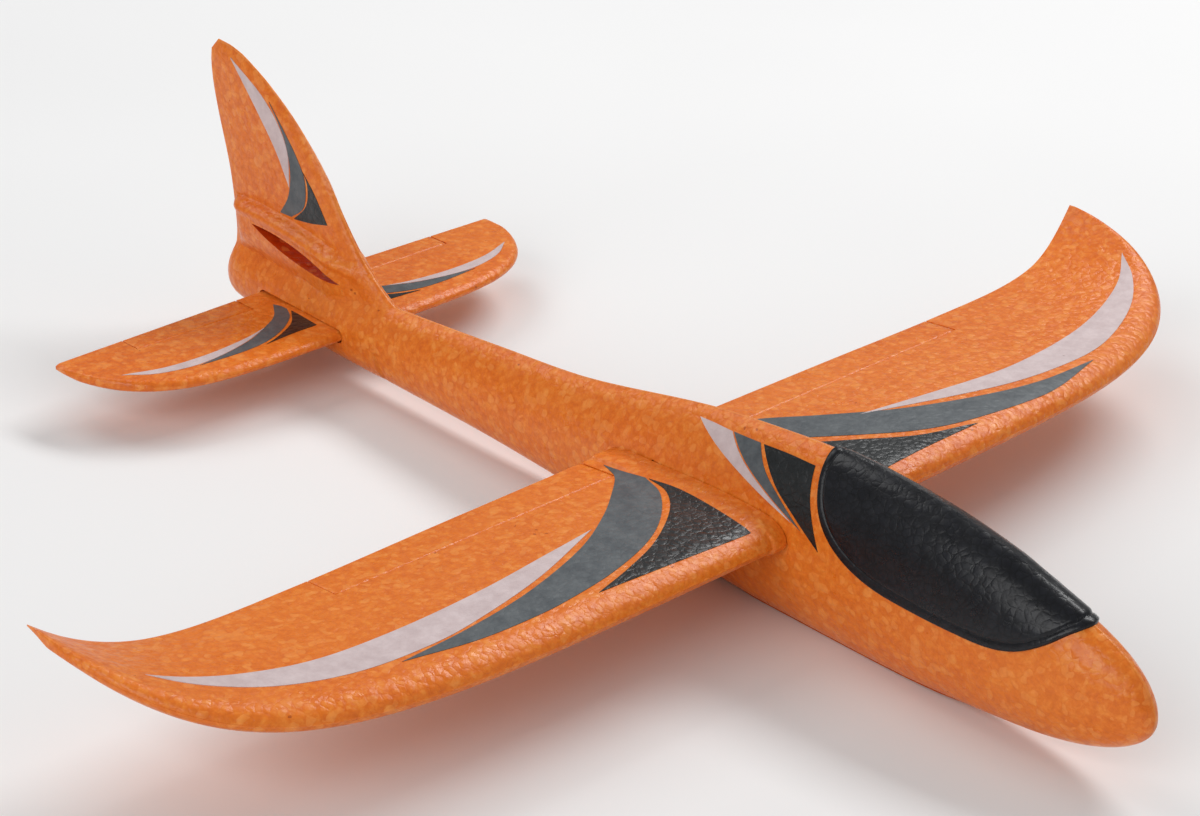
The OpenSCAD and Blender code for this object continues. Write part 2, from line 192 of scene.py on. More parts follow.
def side_w(x, z):
    x, z = np.broadcast_arrays(np.asarray(x, float), np.asarray(z, float))
    end = round_off(x - fin_rear(z), 12)
    bare = body_w(x, z)
    tail = ((bare * mix(0.25, 1, end)) ** 4 + fin_w(x, z) ** 4 + boss_w(x, z) ** 4) ** 0.25
    return np.where(x > FIN_FRONT, bare, tail)


def lead(y):
    """Leading edge, with the cap that the root ends in."""
    cap = 1.0 * (1 - ease((np.abs(y) - CAP_END) / 1.2))
    return TIP_TE + (WING_LE - TIP_TE) * (1 - clamp(np.abs(y) / HALF_SPAN) ** 5.3) ** 0.41 + cap


def wing_rear(y):
    return np.minimum(smooth(WING_TE_ROWS, np.abs(y)), lead(y) - 3)


def wing_rise(y, c):
    return WING_Z - 1 + 0.002 * np.abs(y) + TIP_CURL * mix(0.85, 1, c) * (np.abs(y) / HALF_SPAN) ** 12


def wing_h(y):
    return np.maximum(WING_HALF_T * ((lead(y) - wing_rear(y)) / (WING_LE - WING_TE)) ** 0.7, TIP_HALF_T)


def foil(c, nose_c):
    return round_off(c, nose_c) * (1 - 0.78 * c ** 1.5)


def wing_nose(y):
    return np.minimum(10 / (lead(y) - wing_rear(y)), 0.4)


def rim(y, c):
    """The root's rear is thicker than the flap beside it."""
    return 0.9 * (1 - ease((np.abs(y) - RIM_END) / 1.5)) * ease((c - 0.7) / 0.22)


def wing_mid(y, c):
    return (wing_rise(y, c) + mix(1.5, 0.3, c) * np.sqrt(1 - clamp(np.abs(y) / HALF_SPAN) ** 4)
            + 2.4 * c * (1 - c))


def swell(y, c):
    """How far the root's top swells to meet the fuselage."""
    return 1.7 * (1 - ease((np.abs(y) - 15) / 14)) * (4 * c * (1 - c)) ** 0.7


def wing_surface(y, c, side):
    """Height of the wing's top (side 1) or underside (side -1); c is 0 at the leading edge."""
    thick = wing_h(y) * foil(c, wing_nose(y)) + rim(y, c)
    return wing_mid(y, c) + side * thick + (swell(y, c) if side > 0 else 0)


def wing_top_at(x, y):
    front, rear = lead(y), wing_rear(y)
    return wing_surface(y, clamp((front - x) / (front - rear)), 1)


TIP_TAIL_TE = TAIL_TE + 2.5


def tail_lead(y):
    return TIP_TAIL_TE + (TAIL_LE - TIP_TAIL_TE) * (1 - clamp(np.abs(y) / TAIL_HALF) ** 5.3) ** 0.56


def tail_rear(y):
    return np.minimum(mix(TAIL_TE, TIP_TAIL_TE, np.abs(y) / TAIL_HALF), tail_lead(y) - 3)


def plate(x, y):
    front, rear = tail_lead(y), tail_rear(y)
    h = TAIL_T / 2 * np.minimum(1, (front - rear) / 14)
    nose_round = np.maximum(round_off(front - x, 4), 0.12)
    rear_taper = np.maximum(mix(0.55, 1, clamp((x - rear) / 26)), 0.2)
    return h * nose_round * rear_taper


# ---------------------------------------------------------------- meshes
def make_object(name, points, faces):
    mesh = bpy.data.meshes.new(name)
    mesh.from_pydata([tuple(p) for p in np.asarray(points) * MM], [], faces)
    mesh.validate()
    bm = bmesh.new()
    bm.from_mesh(mesh)
    bmesh.ops.recalc_face_normals(bm, faces=bm.faces)
    bm.to_mesh(mesh)
    bm.free()
    obj = bpy.data.objects.new(name, mesh)
    bpy.context.scene.collection.objects.link(obj)
    return obj


def towards_end(count):
    """Steps from 0 to 1 that crowd towards 1."""
    return np.sin(np.linspace(0, np.pi / 2, count))


def chord_points(x, y, z):
    """Points along the chord at the station y."""
    return np.column_stack([x, np.full_like(x, y), z])


def skin(count, m):
    """Faces between closed rings of m points each."""
    return [(j * m + k, j * m + (k + 1) % m, (j + 1) * m + (k + 1) % m, (j + 1) * m + k)
            for j in range(count - 1) for k in range(m)]


def loft(name, rings):
    """A closed loft. In each ring, points k and m-1-k face each other, so strips close the ends."""
    rings = np.asarray(rings, float)
    count, m = rings.shape[:2]
    faces = skin(count, m)
    for base in (0, (count - 1) * m):
        for k in range(m // 2 - 1):
            faces.append((base + k, base + k + 1, base + m - 2 - k, base + m - 1 - k))
    return make_object(name, rings.reshape(-1, 3), faces)


def prism(name, profile, y0, y1):
    """A profile of (x, z) points drawn out from y0 to y1."""
    n = len(profile)
    points = [(x, y, z) for y in (y0, y1) for x, z in profile]
    faces = [tuple(range(n)), tuple(range(n, 2 * n))]
    faces += [(i, (i + 1) % n, n + (i + 1) % n, n + i) for i in range(n)]
    return make_object(name, points, faces)


def around(mid, size, gap=0.0):
    """The two ends of a stretch round its middle, with a gap beyond each."""
    return mid - size / 2 - gap, mid + size / 2 + gap


def box_profile(x0, x1, z0, z1):
    return [(x0, z0), (x1, z0), (x1, z1), (x0, z1)]


def chamfered(x0, x1, z0, z1, r):
    return [(x0 + r, z0), (x1 - r, z0), (x1, z0 + r), (x1, z1 - r),
            (x1 - r, z1), (x0 + r, z1), (x0, z1 - r), (x0, z0 + r)]


def combine(obj, other, operation):
    """Joins the other mesh on (UNION) or cuts it out (DIFFERENCE). The other object is used up."""
    step = obj.modifiers.new("combine", "BOOLEAN")
    step.operation = operation
    step.solver = "EXACT"
    step.object = other
    with bpy.context.temp_override(object=obj, active_object=obj):
        bpy.ops.object.modifier_apply(modifier=step.name)
    bpy.data.objects.remove(other)


def cut(obj, cutter):
    combine(obj, cutter, "DIFFERENCE")


def finish_mesh(obj, material, angle=35):
    mesh = obj.data
    mesh.polygons.foreach_set("use_smooth", [True] * len(mesh.polygons))
    mesh.set_sharp_from_angle(angle=math.radians(angle))
    mesh.materials.clear()
    mesh.materials.append(material)
    return obj


# ---------------------------------------------------------------- materials
class Shading:
    """A material, with the few kinds of node that its pattern is built from."""

    def __init__(self, name):
        self.material = bpy.data.materials.new(name)
        self.material.use_nodes = True
        tree = self.material.node_tree
        self.nodes, self.links = tree.nodes, tree.links
        self.shader = self.nodes["Principled BSDF"]
        self.coord = self.nodes.new("ShaderNodeTexCoord").outputs["Object"]

    def feed(self, socket, value):
        """Sets a socket to a number or a colour, or links it to another node's output."""
        if isinstance(value, (int, float)):
            socket.default_value = value
        elif isinstance(value, tuple):
            socket.default_value = (*value, 1)
        else:
            self.links.new(value, socket)

    def math(self, operation, *values, clamped=False):
        node = self.nodes.new("ShaderNodeMath")
        node.operation = operation
        node.use_clamp = clamped
        for socket, value in zip(node.inputs, values):
            self.feed(socket, value)
        return node.outputs[0]

    def times(self, a, b):
        return self.math("MULTIPLY", a, b)

    def times_add(self, a, b, c):
        return self.math("MULTIPLY_ADD", a, b, c)

    def ramp(self, source, *stops):
        node = self.nodes.new("ShaderNodeValToRGB")
        points = node.color_ramp.elements
        while len(points) < len(stops):
            points.new(0.5)
        for point, (place, colour) in zip(points, stops):
            point.position = place
            point.color = (*colour, 1)
        self.links.new(source, node.inputs["Fac"])
        return node.outputs["Color"]

    def noise_node(self, scale, detail, coord=None):
        node = self.nodes.new("ShaderNodeTexNoise")
        node.inputs["Scale"].default_value = scale
        node.inputs["Detail"].default_value = detail
        self.links.new(self.coord if coord is None else coord, node.inputs["Vector"])
        return node

    def noise(self, scale, detail=2.0, rough=0.5, coord=None):
        node = self.noise_node(scale, detail, coord)
        node.inputs["Roughness"].default_value = rough
        return node.outputs["Fac"]

    def voronoi(self, scale, feature, coord):
        node = self.nodes.new("ShaderNodeTexVoronoi")
        node.feature = feature
        node.inputs["Scale"].default_value = scale
        self.links.new(coord, node.inputs["Vector"])
        return node.outputs

    def blend(self, share, a, b):
        """Colour a going over to colour b as share goes from 0 to 1."""
        node = self.nodes.new("ShaderNodeMix")
        node.data_type = "RGBA"
        node.blend_type = "MIX"
        self.feed(node.inputs["Factor"], share)
        self.feed(node.inputs["A"], a)
        self.feed(node.inputs["B"], b)
        return node.outputs["Result"]

    def warped(self, scale, amount):
        """The coordinates pushed about by noise, so that cells lose their straight edges."""
        shift = self.nodes.new("ShaderNodeVectorMath")
        shift.operation = "MULTIPLY_ADD"
        self.links.new(self.noise_node(scale, 2).outputs["Color"], shift.inputs[0])
        shift.inputs[1].default_value = (amount * MM,) * 3
        self.links.new(self.coord, shift.inputs[2])
        return shift.outputs[0]

    def bump(self, height, depth, strength=1.0):
        """Relief of the given depth in millimetres."""
        node = self.nodes.new("ShaderNodeBump")
        node.inputs["Strength"].default_value = strength
        node.inputs["Distance"].default_value = depth * MM
        self.links.new(height, node.inputs["Height"])
        self.links.new(node.outputs["Normal"], self.shader.inputs["Normal"])

    def rough(self, source, span, low):
        self.links.new(self.times_add(source, span, low), self.shader.inputs["Roughness"])

    def colour(self, source):
        self.links.new(source, self.shader.inputs["Base Color"])


BEADS_PER_M = 360      # the foam's beads are judged to be a little under 3 mm across
PITS_PER_M = 260
GROOVE_SLOPE = 6.0     # how fast a bead rises from the groove round it
PIT_SIZE = 0.15
PIT_RARITY = 0.70
SEAM_W = 0.45          # half width of the parting ridge on the centre plane, in millimetres; its pale colour is a painted highlight


def bead_relief(look, depth, groove_h, pits, seam=None):
    """Low domes over the beads, fine grooves between them, and small pits, as one bump."""
    place = look.warped(260, 2.2)
    edge = look.voronoi(BEADS_PER_M, "DISTANCE_TO_EDGE", place)["Distance"]
    cells = look.voronoi(BEADS_PER_M, "SMOOTH_F1", place)
    groove = look.math("MULTIPLY", edge, GROOVE_SLOPE, clamped=True)
    height = look.times(cells["Distance"], -1.0)
    height = look.times_add(groove, groove_h, height)
    height = look.times_add(look.noise(620, 3), 0.45, height)
    height = look.times_add(look.noise(170, 2), 1.1, height)
    pit_mask = look.math("LESS_THAN", look.voronoi(PITS_PER_M, "F1", place)["Distance"], PIT_SIZE)
    pit = look.times(pit_mask, look.math("GREATER_THAN", look.noise(90, 1), PIT_RARITY))
    height = look.times_add(pit, -pits, height)
    if seam is not None:
        height = look.times_add(seam, 0.8, height)
    look.bump(height, depth)
    # gap is 1 in the grooves between beads; the materials darken it there as painted shade.
    gap = look.math("SUBTRACT", 1.0, groove)
    return gap, cells["Color"], pit


# The pale fleck colour is a painted highlight on some beads.
FLECK_HIGHLIGHT = (0.96, 0.38, 0.09)
# The dark gap colour is painted shade in the grooves between beads.
GAP_PAINTED_SHADE = (0.48, 0.06, 0.004)
# The dark pit colour is painted shade in the pits.
PIT_PAINTED_SHADE = (0.30, 0.03, 0.004)
# The pale seam colour is a painted highlight on the parting ridge.
SEAM_HIGHLIGHT = (0.93, 0.36, 0.09)
BLACK = (0, 0, 0)
CLOUD = (0.28, 0.28, 0.28)


def foam_material(name, tones, seam_line=False):
    """Bead foam: mottled colour, pale flecks on some beads as a painted highlight, painted shade in the
    gaps and pits, uneven gloss.
    """
    look = Shading(name)
    seam = None
    if seam_line:
        split = look.nodes.new("ShaderNodeSeparateXYZ")
        look.links.new(look.coord, split.inputs[0])
        off = look.math("ABSOLUTE", split.outputs["Y"])
        seam = look.math("LESS_THAN", off, SEAM_W * MM)
    gap, cell, pit = bead_relief(look, depth=0.30, groove_h=0.16, pits=0.8, seam=seam)
    deep, middle, pale = tones
    patches = look.noise(310, 4, 0.7, look.warped(160, 4))
    colour = look.ramp(patches, (0.32, deep), (0.50, middle), (0.68, pale))
    cloud = look.ramp(look.noise(17, 3), (0.35, BLACK), (0.70, CLOUD))
    colour = look.blend(cloud, colour, pale)
    grey = look.nodes.new("ShaderNodeRGBToBW")
    look.links.new(cell, grey.inputs[0])
    # Pale flecks on the lighter beads are a painted highlight.
    highlight_beads = look.math("GREATER_THAN", grey.outputs[0], 0.60)
    smear = look.times(look.noise(420, 2), 0.55)
    colour = look.blend(look.times(highlight_beads, smear), colour, FLECK_HIGHLIGHT)
    # The grooves between beads are darkened: painted shade.
    colour = look.blend(look.times(gap, 0.10), colour, GAP_PAINTED_SHADE)
    # The pits are darkened: painted shade.
    colour = look.blend(look.times(pit, 0.55), colour, PIT_PAINTED_SHADE)
    # The parting ridge is drawn paler: a painted highlight.
    if seam is not None:
        colour = look.blend(look.times(seam, 0.3), colour, SEAM_HIGHLIGHT)
    look.colour(colour)
    look.rough(look.noise(130, 3), 0.36, 0.16)
    look.shader.inputs["Specular IOR Level"].default_value = 0.38
    return look.material


def film_material(name, dark, light, rough, depth, groove_h, groove_shade_share, speck, specks, gloss=0.5):
    """A thin film that shows the beads under it; rough is its lowest roughness and the span above."""
    look = Shading(name)
    gap, _, pit = bead_relief(look, depth, groove_h, pits=0.4)
    colour = look.ramp(look.noise(150, 4, 0.65), (0.36, dark), (0.64, light))
    # The grooves between beads are darkened: painted shade.
    colour = look.blend(look.times(gap, groove_shade_share), colour, tuple(0.4 * v for v in dark))
    # Pits take the speck colour: on the films it is darker, a painted shade in the pits; on the canopy it
    # is a little lighter.
    colour = look.blend(look.times(pit, specks), colour, speck)
    look.colour(colour)
    low, span = rough
    look.rough(look.noise(160, 2), span, low)
    look.shader.inputs["Specular IOR Level"].default_value = gloss
    return look.material


def plastic_material(name, dark, light):
    look = Shading(name)
    look.colour(look.ramp(look.noise(120, 3), (0.3, dark), (0.7, light)))
    look.bump(look.noise(700, 4), 0.02, strength=0.3)
    look.rough(look.noise(260, 2), 0.15, 0.45)
    return look.material


def steel_material(name, dark, light):
    """Turned steel: fine rings round the upright axis."""
    look = Shading(name)
    stretch = look.nodes.new("ShaderNodeMapping")
    stretch.inputs["Scale"].default_value = (60, 60, 2600)
    look.links.new(look.coord, stretch.inputs["Vector"])
    lathe = look.noise(1.0, 3, coord=stretch.outputs[0])
    look.colour(look.ramp(lathe, (0.3, dark), (0.7, light)))
    look.rough(lathe, 0.2, 0.25)
    look.shader.inputs["Metallic"].default_value = 1.0
    return look.material


ORANGE = ((0.69, 0.128, 0.006), (0.79, 0.172, 0.010), (0.88, 0.262, 0.034))
# The deep orange is painted shade for the inside of the upper slot.
SLOT_SHADE_ORANGE = ((0.50, 0.035, 0.002), (0.60, 0.050, 0.003), (0.66, 0.075, 0.006))
FOAM = foam_material("orange_foam", ORANGE)
FOAM_SEAMED = foam_material("orange_foam_seamed", ORANGE, seam_line=True)
FOAM_SLOT_SHADE = foam_material("orange_foam_slot_shade", SLOT_SHADE_ORANGE)
CANOPY_BLACK = film_material(
    "black_canopy", (0.006, 0.0065, 0.009), (0.011, 0.012, 0.016), rough=(0.18, 0.24),
    depth=0.10, groove_h=0.3, groove_shade_share=0.6, speck=(0.03, 0.03, 0.03), specks=0.3, gloss=0.32)
FILM = {
    "grey": film_material(
        "film_grey", (0.076, 0.088, 0.098), (0.120, 0.134, 0.143), rough=(0.34, 0.24),
        depth=0.19, groove_h=0.15, groove_shade_share=0.10, speck=(0.05, 0.05, 0.05), specks=0.4, gloss=0.4),
    "black": film_material(
        "film_black", (0.007, 0.009, 0.010), (0.015, 0.018, 0.020), rough=(0.22, 0.22),
        depth=0.22, groove_h=0.28, groove_shade_share=0.6, speck=(0.003, 0.003, 0.003), specks=0.5),
    # The white film's pink tint is partly the orange foam showing through the thin film and partly painted
    # orange bounce light.
    "white": film_material(
        "film_white", (0.58, 0.46, 0.46), (0.68, 0.56, 0.56), rough=(0.42, 0.20),
        depth=0.14, groove_h=0.1, groove_shade_share=0.05, speck=(0.36, 0.26, 0.25), specks=0.6),
}
CLIP_PLASTIC = plastic_material("clip_plastic", (0.030, 0.030, 0.033), (0.055, 0.055, 0.060))
STEEL = steel_material("weight_steel", (0.40, 0.40, 0.42), (0.58, 0.58, 0.60))


# ---------------------------------------------------------------- fuselage
KEEL_W = 3.0
THIN = 0.15                      # least half width of any section
SIDE_ROWS = 64                   # steps from the belly to the top
LOW_ROWS, RIDGE_ROWS = 18, 32    # of which below the ridge over the upper slot, and on it
RIDGE_SPAN = 12.5                # how far below the ridge's top its rows reach
TAIL_RINGS, BODY_RINGS, NOSE_RINGS = 90, 150, 34
CUT_REACH = 30                   # how far the slots' cutters reach to each side


def both_sides(side):
    """A ring from one side's points, from the belly up and down again on the other side."""
    right = side * np.array([1, -1, 1])
    return np.vstack([right, side[::-1]])


def crest(w, amount=0.25):
    """Height of the moulding's parting ridge over a point that is w from the centre plane."""
    return amount * np.exp(-(w / 0.55) ** 2)


def body_ring(x):
    i = np.arange(SIDE_ROWS + 1)
    z = mix(belly(x), spine(x), (1 - np.cos(np.pi * i / SIDE_ROWS)) / 2)
    w = np.maximum(side_w(x, z), THIN)
    keel = KEEL_W * ease((x - 20) / 50) * ease((185 - x) / 40) + THIN
    w[0] = max(w[0], keel)
    w[1] = max(w[1], keel + 0.4)
    upper = z > mix(belly(x), spine(x), 0.5)
    return both_sides(np.column_stack([np.full_like(z, x), w, z + np.where(upper, crest(w), 0)]))


def tail_ring(high):
    """A leaning ring, whose points crowd where the ridge over the upper slot stands."""
    s = (fin_lead(high) - FIN_FRONT) / (fin_rear(high) - FIN_FRONT)
    low = belly(mix(FIN_FRONT, BODY_END, s))
    t = min(boss_top(mix(FIN_FRONT, fin_rear(BOSS_TOP_Z), s)), mix(high, low, 0.12))
    z = np.r_[np.linspace(low, t - RIDGE_SPAN, LOW_ROWS + 1)[:-1],
              np.linspace(t - RIDGE_SPAN, t + 0.2, RIDGE_ROWS + 1)[:-1],
              np.linspace(t + 0.2, high, SIDE_ROWS - LOW_ROWS - RIDGE_ROWS + 1)]
    x = mix(FIN_FRONT, fin_rear(z), s)
    return both_sides(np.column_stack([x, np.maximum(side_w(x, z), THIN), z]))


def slot_bar(name, mid, chord, height, y):
    ends = np.linspace(-90, 90, 17)
    front = [(mid[0] + (chord - height) / 2 + height / 2 * math.cos(math.radians(a)),
              mid[1] + height / 2 * math.sin(math.radians(a))) for a in ends]
    rear = [(2 * mid[0] - x, 2 * mid[1] - z) for x, z in front]
    return prism(name, front + rear, -y, y)


def slot_lens(name, mid, chord, height, tilt, y):
    radius = (chord ** 2 + height ** 2) / 4 / height
    xs = np.linspace(-chord / 2, chord / 2, 33)
    arc = np.sqrt(radius ** 2 - xs ** 2) - (radius - height / 2)
    outline = [(x, h) for x, h in zip(xs, arc)] + [(x, -h) for x, h in zip(xs[-2:0:-1], arc[-2:0:-1])]
    c, s = math.cos(math.radians(tilt)), math.sin(math.radians(tilt))
    return prism(name, [(mid[0] + x * c + z * s, mid[1] - x * s + z * c) for x, z in outline], -y, y)


def make_fuselage():
    fin_foot = 36.6
    tails = [tail_ring(mix(FIN_TOP, fin_foot, (j / TAIL_RINGS) ** 1.7)) for j in range(TAIL_RINGS + 1)]
    bodies = [body_ring(x) for x in np.linspace(FIN_FRONT + 1.2, NOSE_START, BODY_RINGS)]
    noses = []
    for j in range(1, NOSE_RINGS + 1):
        share = math.sin(math.radians(89.3 * j / NOSE_RINGS))
        noses.append(body_ring(mix(NOSE_START, NOSE_X, share)))
    obj = loft("fuselage_foam", tails + bodies + noses)
    tail_mid = ((TAIL_LE + TAIL_TE) / 2, TAIL_Z)
    tail_chord = TAIL_LE - TAIL_TE + 2 * FIT_GAP
    cut(obj, slot_bar("tail_slot", tail_mid, tail_chord, TAIL_T + 2 * FIT_GAP, CUT_REACH))
    cut(obj, slot_lens("upper_slot", (SLOT_X, SLOT_Z), SLOT_L, SLOT_H, SLOT_TILT, CUT_REACH))
    passage = box_profile(*around(TONGUE_X, TONGUE_L, FIT_GAP), *around(TONGUE_Z, TONGUE_T, FIT_GAP))
    cut(obj, prism("passage", passage, -40, 40))
    finish_mesh(obj, FOAM_SEAMED)
    # The faces inside the upper slot take the deep orange foam: painted shade in the slot.
    obj.data.materials.append(FOAM_SLOT_SHADE)
    tilt = math.radians(SLOT_TILT)
    for face in obj.data.polygons:
        x, _, z = face.center / MM
        along = (x - SLOT_X) * math.cos(tilt) - (z - SLOT_Z) * math.sin(tilt)
        off = (x - SLOT_X) * math.sin(tilt) + (z - SLOT_Z) * math.cos(tilt)
        if abs(face.normal.y) < 0.3 and abs(along) < SLOT_L / 2 and abs(off) < SLOT_H / 2 + 0.1:
            face.material_index = 1
    return obj


fuselage = make_fuselage()
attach(fuselage, "fuselage_body")
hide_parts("fuselage")


# ---------------------------------------------------------------- canopy
ROLL_R = 34.0                        # millimetres of arc for each radian down the side
CANOPY_STEPS, EDGE_POINTS = 120, 240
CANOPY_MID, GATHER = 148, 0.72       # where the rings close in, and how far they gather there
UNDER = 0.05                         # height of the cover's underside off the skin
# (distance in from the edge, height off the skin): wall, rim, groove, step up to the dome
EDGE_PROFILE = [(0, 0.05), (0.02, 0.95), (0.25, 1.15), (1.2, 1.2), (2.4, 1.15), (2.7, 1.02),
                (2.95, 0.9), (3.2, 0.92), (3.5, 1.15), (3.9, 1.4), (4.6, 1.52)]
DOME_SHARES = (0.1, 0.22, 0.36, 0.52, 0.68, 0.84, 1.0)


def canopy_point(x, s, grow):
    """A point of the cover at x and arc s from the crown, grown off the fuselage's skin."""
    low, high = belly(x) - grow, spine(x) + grow
    depth = (1 - WIDE) * (high - low)
    angle = abs(s) / ROLL_R
    z = high - depth * (1 - math.cos(angle))
    half_w = BODY_HALF_W * smooth(BODY_ROWS, x, 3) * nose(x) + grow
    w = half_w * math.sin(angle) ** (2 / smooth(BODY_ROWS, x, 4))
    return float(x), float(math.copysign(w, s)), float(z)


def canopy_arc(x):
    low, high = belly(x), spine(x)
    drop = clamp((high - smooth(CANOPY_ROWS, x)) / ((1 - WIDE) * (high - low)))
    return ROLL_R * math.acos(1 - drop)


def resample(points, count):
    points = np.asarray(points, float)
    steps = np.r_[0, np.cumsum(np.linalg.norm(np.diff(points, axis=0), axis=1))]
    at = np.linspace(0, steps[-1], count)
    return np.column_stack([np.interp(at, steps, points[:, k]) for k in range(points.shape[1])])


def make_canopy():
    steps = np.arange(CANOPY_STEPS + 1)
    xs = mix(CANOPY_REAR, CANOPY_NOSE, (1 - np.cos(np.pi * steps / CANOPY_STEPS)) / 2)
    side = np.array([(x, canopy_arc(x)) for x in xs])
    loop = np.vstack([side, side[::-1] * (1, -1)])
    loop = resample(np.vstack([loop, loop[:1]]), EDGE_POINTS + 1)[:-1]
    middle = np.column_stack([mix(CANOPY_MID, loop[:, 0], GATHER), np.zeros(len(loop))])
    reach = np.linalg.norm(middle - loop, axis=1)
    rings = []
    for d, h in EDGE_PROFILE:
        share = np.minimum(d / reach, 0.6)[:, None]
        rings.append((mix(loop, middle, share), h))
    edge_in, edge_h = EDGE_PROFILE[-1]
    last = np.minimum(edge_in / reach, 0.6)[:, None]
    for t in DOME_SHARES:
        rings.append((mix(loop, middle, mix(last, 1.0, t)), mix(edge_h, CANOPY_T, t)))
    n = len(loop)
    points = [canopy_point(x, arc, h) for ring, h in rings for x, arc in ring]
    faces = skin(len(rings), n)
    inner = len(points)
    points += [canopy_point(x, arc, UNDER) for x, arc in rings[-1][0]]
    faces += [(k, (k + 1) % n, inner + (k + 1) % n, inner + k) for k in range(n)]
    obj = make_object("canopy_cover", points, faces)
    bm = bmesh.new()
    bm.from_mesh(obj.data)
    bmesh.ops.remove_doubles(bm, verts=bm.verts, dist=0.004 * MM)
    bmesh.ops.recalc_face_normals(bm, faces=bm.faces)
    bm.to_mesh(obj.data)
    bm.free()
    return finish_mesh(obj, CANOPY_BLACK, 50)


canopy = make_canopy()
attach(canopy, "fuselage_body")
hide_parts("canopy")


# ---------------------------------------------------------------- wings
CHORD_ROWS = 46
PARTING = 0.2       # how far the moulding's parting line stands ahead of the leading edge
PARTING_W = 0.25    # half its height
FINE_STEPS = 0.3 * np.arange(6)    # rings close together, where the cap and the rim step down


def wing_ring(y, root=False):
    """Top from the trailing edge forward, then the underside back again."""
    front, rear = lead(y), wing_rear(y)
    c = (np.arange(1, CHORD_ROWS + 1) / CHORD_ROWS) ** 1.9
    x = mix(front, rear, c)
    top = chord_points(x, y, wing_surface(y, c, 1))[::-1]
    low = chord_points(x, y, wing_surface(y, c, -1))
    mid = float(wing_mid(y, 0.0))
    line = [[front + PARTING, y, mid + PARTING_W], [front + PARTING, y, mid - PARTING_W]]
    ring = np.vstack([top, line, low])
    if root:
        ring[:, 1] = body_w(ring[:, 0], ring[:, 2]) + FIT_GAP + 0.15
    return ring


def mirrored(obj, side):
    """Turns a left-hand mesh into the right-hand one."""
    if side < 0:
        obj.data.transform(Matrix.Diagonal((1, -1, 1, 1)))
        obj.data.flip_normals()
    return obj


def make_wing(name, side):
    outer = mix(190, HALF_SPAN - 0.3, towards_end(40))[1:]
    stations = np.r_[18.5, CAP_END + FINE_STEPS[:5], 21.7, RIM_END + FINE_STEPS, 24.9, 26.4, 28.2,
                     np.linspace(30, 190, 60), outer]
    obj = loft(name, [wing_ring(17, True)] + [wing_ring(y) for y in stations])
    tongue = chamfered(*around(TONGUE_X, TONGUE_L), *around(TONGUE_Z, TONGUE_T), 0.5)
    combine(obj, prism("tongue", tongue, TONGUE_START, TONGUE_END), "UNION")
    room = box_profile(-30, FLAP_CREASE + CREASE_GAP, 0, 80)
    cut(obj, prism("room", room, FLAP_START - CREASE_GAP, FLAP_END + CREASE_GAP))
    pocket = box_profile(*around(TONGUE_X, CLIP_L), *around(TONGUE_Z, CLIP_T))
    cut(obj, prism("pocket", pocket, -1, 12))
    return finish_mesh(mirrored(obj, side), FOAM)


def flap_ring(y, end=0.0):
    """A flap's section. Its front is flush with the wing's cut, with a small groove on top and below."""
    front, rear = lead(y), wing_rear(y)
    at = FLAP_CREASE + CREASE_GAP - 0.02
    x = mix(rear, at, towards_end(26))
    c = (front - x) / (front - rear)
    groove = 0.55 * np.exp(-((at - x) / 0.42) ** 2) + end
    top = chord_points(x, y, wing_surface(y, c, 1) - groove)
    low = chord_points(x, y, wing_surface(y, c, -1) + groove)
    return np.vstack([top, low[::-1]])


def make_flap(name, side):
    stations = np.linspace(FLAP_START + 0.25, FLAP_END - 0.25, 62)
    rings = [flap_ring(FLAP_START, 0.2)] + [flap_ring(y) for y in stations] + [flap_ring(FLAP_END, 0.2)]
    return finish_mesh(mirrored(loft(name, rings), side), FOAM, 50)


for tag, side in (("left", 1), ("right", -1)):
    wing = make_wing(tag + "_wing_foam", side)
    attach(wing, tag + "_wing_body")
    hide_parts(tag + "_wing")
    flap = make_flap(tag + "_flap_foam", side)
    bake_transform(flap)
    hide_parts(tag + "_flap")


# ---------------------------------------------------------------- tailplane
def tail_section(y):
    front, rear = tail_lead(y), tail_rear(y)
    x = mix(rear, front, np.sin(np.pi / 2 * np.linspace(0, 1, 40) ** 1.1))
    h = plate(x, y)
    return np.vstack([chord_points(x, y, TAIL_Z + h), chord_points(x, y, TAIL_Z - h)[::-1]])


def elevator_ring(y, end=0.0):
    rear = tail_rear(y)
    at = ELEVATOR_CREASE + CREASE_GAP - 0.02
    x = mix(rear, at, towards_end(18))
    h = plate(x, y) - 0.7 * np.exp(-((at - x) / 0.5) ** 2) - end
    return np.vstack([chord_points(x, y, TAIL_Z + h), chord_points(x, y, TAIL_Z - h)[::-1]])


def make_tailplane():
    outer = mix(ELEVATOR_END, TAIL_HALF - 0.7, towards_end(30)[1:])
    half = np.r_[np.linspace(0, ELEVATOR_END, 30), outer]
    rings = [tail_section(y) * (1, -1, 1) for y in half[:0:-1]] + [tail_section(y) for y in half]
    obj = loft("tailplane_foam", rings)
    for s in (1, -1):
        room = box_profile(-240, ELEVATOR_CREASE + CREASE_GAP, 0, 60)
        ends = sorted((s * (ELEVATOR_START - CREASE_GAP), s * (ELEVATOR_END + CREASE_GAP)))
        cut(obj, prism("room", room, *ends))
    return finish_mesh(obj, FOAM)


tailplane = make_tailplane()
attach(tailplane, "tailplane_body")
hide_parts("tailplane")
for tag, side in (("left", 1), ("right", -1)):
    stations = np.linspace(ELEVATOR_START + 0.2, ELEVATOR_END - 0.2, 34)
    rings = ([elevator_ring(ELEVATOR_START, 0.15)] + [elevator_ring(y) for y in stations]
             + [elevator_ring(ELEVATOR_END, 0.15)])
    elevator = finish_mesh(mirrored(loft(tag + "_elevator_foam", rings), side), FOAM, 50)
    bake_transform(elevator)
    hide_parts(tag + "_elevator")


